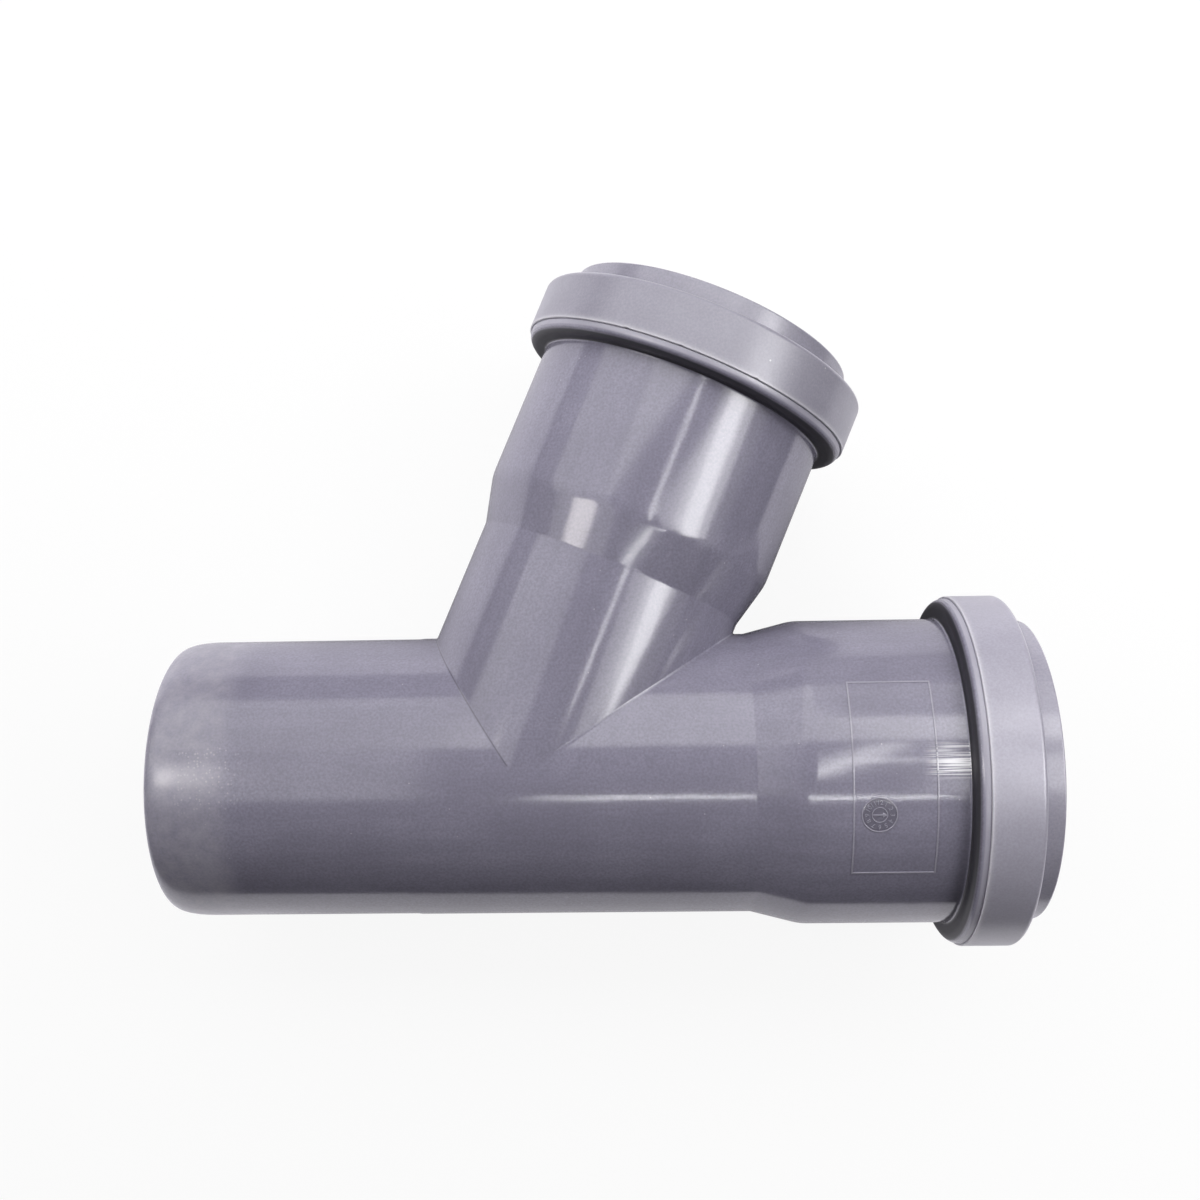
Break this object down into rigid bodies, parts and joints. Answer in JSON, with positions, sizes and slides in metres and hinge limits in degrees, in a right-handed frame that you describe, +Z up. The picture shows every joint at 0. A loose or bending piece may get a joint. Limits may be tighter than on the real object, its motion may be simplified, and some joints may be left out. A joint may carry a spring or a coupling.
{
  "type": "drain pipe wye",
  "caption": "Drain pipe wye with a plain spigot, push fit sockets on the run and on the leaning branch, and snap caps over lip seals.",
  "frame": {"origin": "middle of the bounding box seen from above, on the surface that the caps rest on, with the part lying on its side", "axes": "+X along the run from the spigot to its socket, +Y to the side that the branch leaves on, +Z up out of the surface"},
  "size_m": [0.1526, 0.1243, 0.0628],
  "materials": {
    "body": "glossy grey polypropylene, as moulded",
    "cap": "matte lighter grey polypropylene",
    "seal": "black lip seal rubber"
  },
  "bodies": {
    "root": {"wye_body": "body", "run_cap": "cap", "branch_cap": "cap", "run_seal": "seal", "branch_seal": "seal"}
  },
  "joints": []
}
